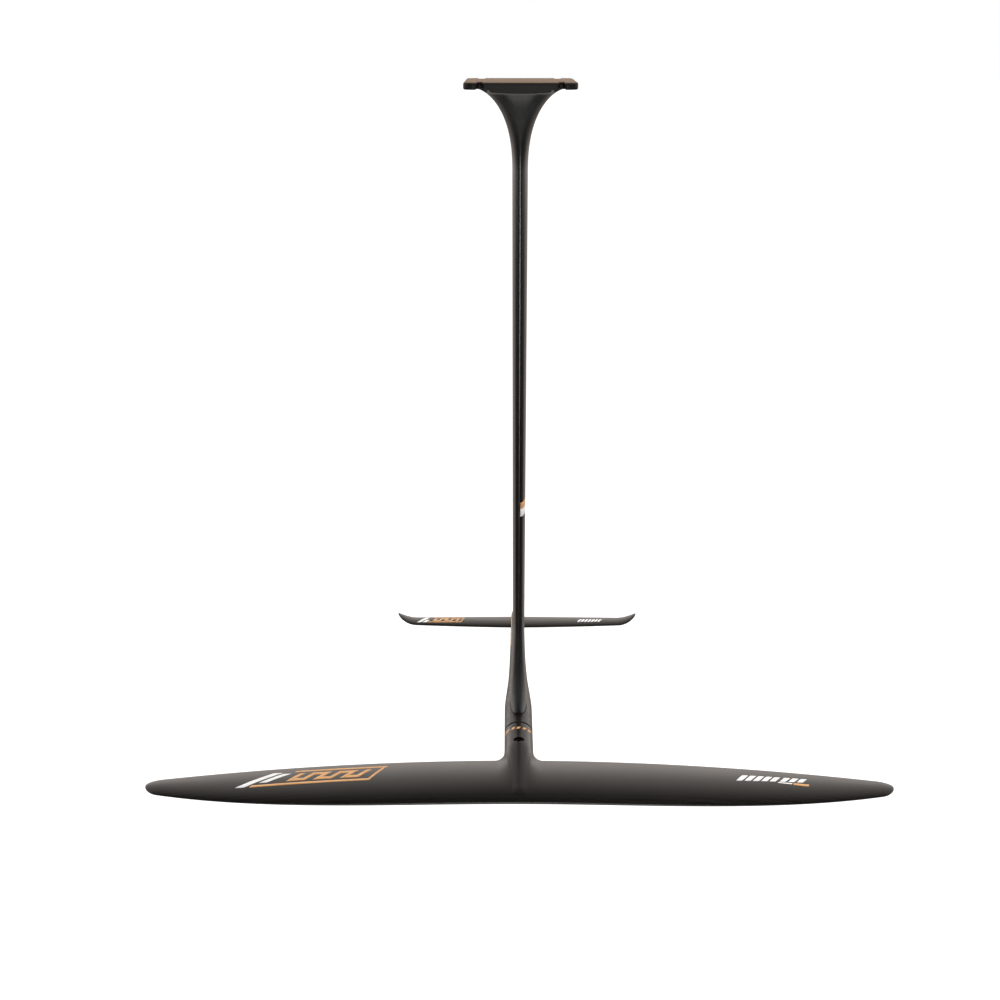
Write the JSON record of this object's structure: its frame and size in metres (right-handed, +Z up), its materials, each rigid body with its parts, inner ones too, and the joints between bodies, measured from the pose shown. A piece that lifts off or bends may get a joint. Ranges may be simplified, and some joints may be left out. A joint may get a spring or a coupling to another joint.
{
  "type": "hydrofoil mast and wing assembly",
  "caption": "Foil board hydrofoil: flared carbon mast with slotted board plate, slim fuselage, long front wing and small upturned tail wing.",
  "frame": {"origin": "centre of the board plate's flat top face", "axes": "+Z up out of the board plate's top face, -Y the direction of travel (towards the front wing), X across the span"},
  "size_m": [0.8596, 0.6185, 0.7815],
  "materials": {
    "plate_carbon": "moulded carbon fibre, satin",
    "mast_carbon": "unidirectional carbon fibre, satin clear coat",
    "fuselage_carbon": "moulded carbon fibre, matte with a fine speckle",
    "wing_carbon": "twill carbon fibre, satin clear coat",
    "copper_print": "printed copper graphics under clear coat",
    "white_print": "printed white graphics under clear coat",
    "foam_core": "closed-cell foam",
    "laminate_block": "machined glass and carbon laminate",
    "shim_plastic": "moulded plastic",
    "screw_steel": "black oxide stainless steel",
    "insert_steel": "turned stainless steel",
    "insert_brass": "knurled brass"
  },
  "bodies": {
    "root": {"base_plate": "plate_carbon", "mast_shell": "mast_carbon", "mast_core": "foam_core", "mast_foot_block": "laminate_block", "fuselage": "fuselage_carbon", "front_wing_upper_skin": "wing_carbon", "front_wing_lower_skin": "wing_carbon", "front_wing_core": "foam_core", "front_wing_socket": "laminate_block", "front_wing_screw": "screw_steel", "fuselage_tongue_insert": "insert_brass", "tail_wing": "wing_carbon", "tail_wing_shim": "shim_plastic", "mast_insert_front": "insert_steel", "mast_insert_rear": "insert_steel", "mast_bolt_front": "screw_steel", "mast_bolt_rear": "screw_steel", "tail_insert_front": "insert_brass", "tail_insert_rear": "insert_brass", "tail_bolt_front": "screw_steel", "tail_bolt_rear": "screw_steel"}
  },
  "joints": []
}
